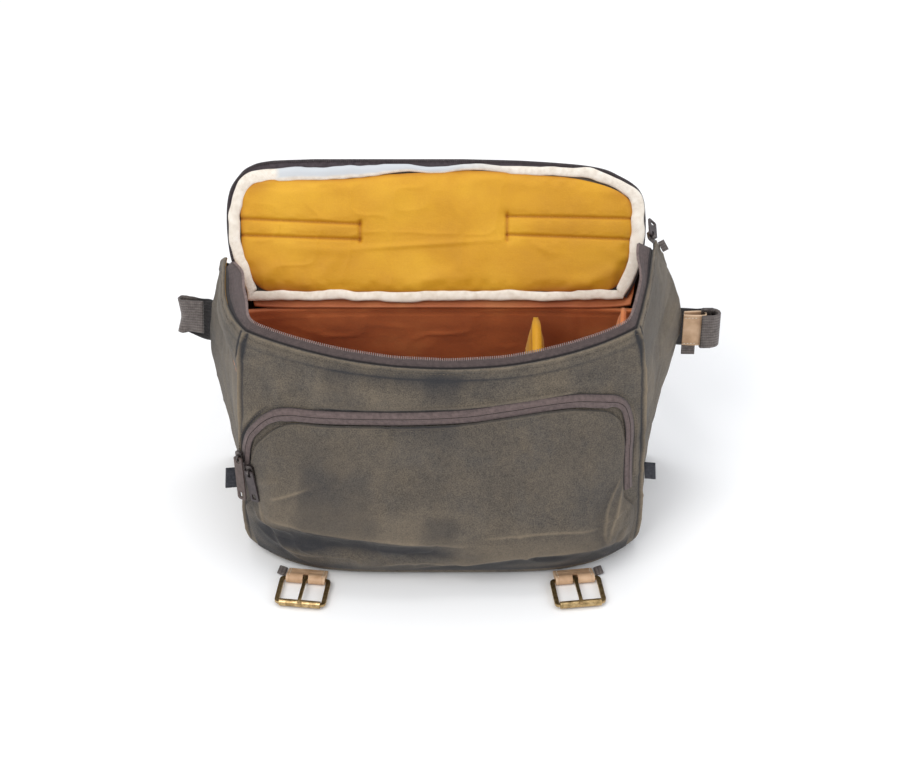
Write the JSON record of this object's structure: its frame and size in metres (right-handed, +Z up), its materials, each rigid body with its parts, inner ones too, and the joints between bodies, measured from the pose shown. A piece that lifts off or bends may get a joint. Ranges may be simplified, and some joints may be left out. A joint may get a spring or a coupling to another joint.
{
  "type": "camera shoulder bag",
  "caption": "Waxed canvas camera shoulder bag with a padded lined compartment, zipped lid open, arched front pocket, strap and open roller buckles.",
  "frame": {"origin": "centre of the flat base, on the surface that the bag stands on", "axes": "+X to the right seen from the front, +Y from the front to the back, +Z up"},
  "size_m": [0.5178, 0.5598, 0.3124],
  "materials": {
    "canvas": "waxed cotton canvas, mottled taupe brown, matt",
    "lining": "padded woven nylon, golden yellow, soft sheen",
    "binding": "cream herringbone binding tape",
    "zip_tape": "plum taupe knitted zip tape with coil",
    "dark_tape": "dark woven tape",
    "webbing": "grey brown ribbed webbing",
    "leather": "vegetable tanned tan leather, pale cut edges",
    "antique_brass": "antique brass, worn bright on the edges",
    "dark_metal": "gunmetal",
    "pull": "taupe moulded pull, matt",
    "dark_pull": "dark moulded pull, matt"
  },
  "bodies": {
    "bag": {"body_shell": "canvas", "lining_shell": "lining", "mouth_zip_tape": "zip_tape", "lid_canvas": "canvas", "lid_binding": "binding", "lid_lining": "lining", "lid_zip_tape": "dark_tape", "hinge_fold": "lining", "divider_middle": "lining", "divider_side": "lining", "pocket_zip_tape": "zip_tape", "pocket_panel": "canvas", "pocket_zip_a_slider": "dark_metal", "pocket_zip_b_slider": "dark_metal", "mouth_zip_slider": "dark_metal", "side_tab_left": "dark_tape", "side_tab_right": "dark_tape", "rear_tab": "webbing", "buckle_tab_left": "leather", "web_stub_left": "webbing", "buckle_tab_right": "leather", "web_stub_right": "webbing", "strap_lug_right": "leather", "strap_ring": "dark_metal", "lug_webbing": "webbing", "shoulder_strap": "webbing"},
    "frame_left": {"buckle_frame_left": "antique_brass"},
    "roller_left": {"buckle_roller_left": "antique_brass"},
    "prong_left": {"buckle_prong_left": "antique_brass"},
    "frame_right": {"buckle_frame_right": "antique_brass"},
    "roller_right": {"buckle_roller_right": "antique_brass"},
    "prong_right": {"buckle_prong_right": "antique_brass"},
    "pull_a": {"pocket_zip_a_pull": "pull"},
    "pull_b": {"pocket_zip_b_pull": "dark_pull"},
    "mouth_pull": {"mouth_zip_pull": "dark_pull"}
  },
  "joints": [
    {"name": "frame_left_hinge", "type": "hinge", "parent": "bag", "child": "frame_left", "pos_m": [-0.12771, -0.1059, 0.0046], "axis": [-0.9925, 0.1219, 0], "range_deg": [0, 40]},
    {"name": "roller_left_spin", "type": "hinge", "parent": "frame_left", "child": "roller_left", "pos_m": [-0.13173, -0.13865, 0.0046], "axis": [-0.9925, 0.1219, 0], "continuous": true},
    {"name": "prong_left_hinge", "type": "hinge", "parent": "frame_left", "child": "prong_left", "pos_m": [-0.12771, -0.1059, 0.0046], "axis": [-0.9925, 0.1219, 0], "range_deg": [0, 38]},
    {"name": "frame_right_hinge", "type": "hinge", "parent": "bag", "child": "frame_right", "pos_m": [0.12371, -0.1059, 0.0046], "axis": [-0.9925, -0.1219, 0], "range_deg": [0, 40]},
    {"name": "roller_right_spin", "type": "hinge", "parent": "frame_right", "child": "roller_right", "pos_m": [0.12773, -0.13865, 0.0046], "axis": [-0.9925, -0.1219, 0], "continuous": true},
    {"name": "prong_right_hinge", "type": "hinge", "parent": "frame_right", "child": "prong_right", "pos_m": [0.12371, -0.1059, 0.0046], "axis": [-0.9925, -0.1219, 0], "range_deg": [0, 38]},
    {"name": "pull_a_hinge", "type": "hinge", "parent": "bag", "child": "pull_a", "pos_m": [-0.18704, -0.0705, 0.12253], "axis": [-0.7751, 0.6204, -0.1194], "range_deg": [0, 120]},
    {"name": "pull_b_hinge", "type": "hinge", "parent": "bag", "child": "pull_b", "pos_m": [-0.17729, -0.07772, 0.11147], "axis": [-0.8001, 0.5631, -0.2069], "range_deg": [0, 120]},
    {"name": "mouth_pull_hinge", "type": "hinge", "parent": "bag", "child": "mouth_pull", "pos_m": [0.19228, 0.05019, 0.28588], "axis": [0.7071, 0, -0.7071], "range_deg": [0, 120]}
  ]
}
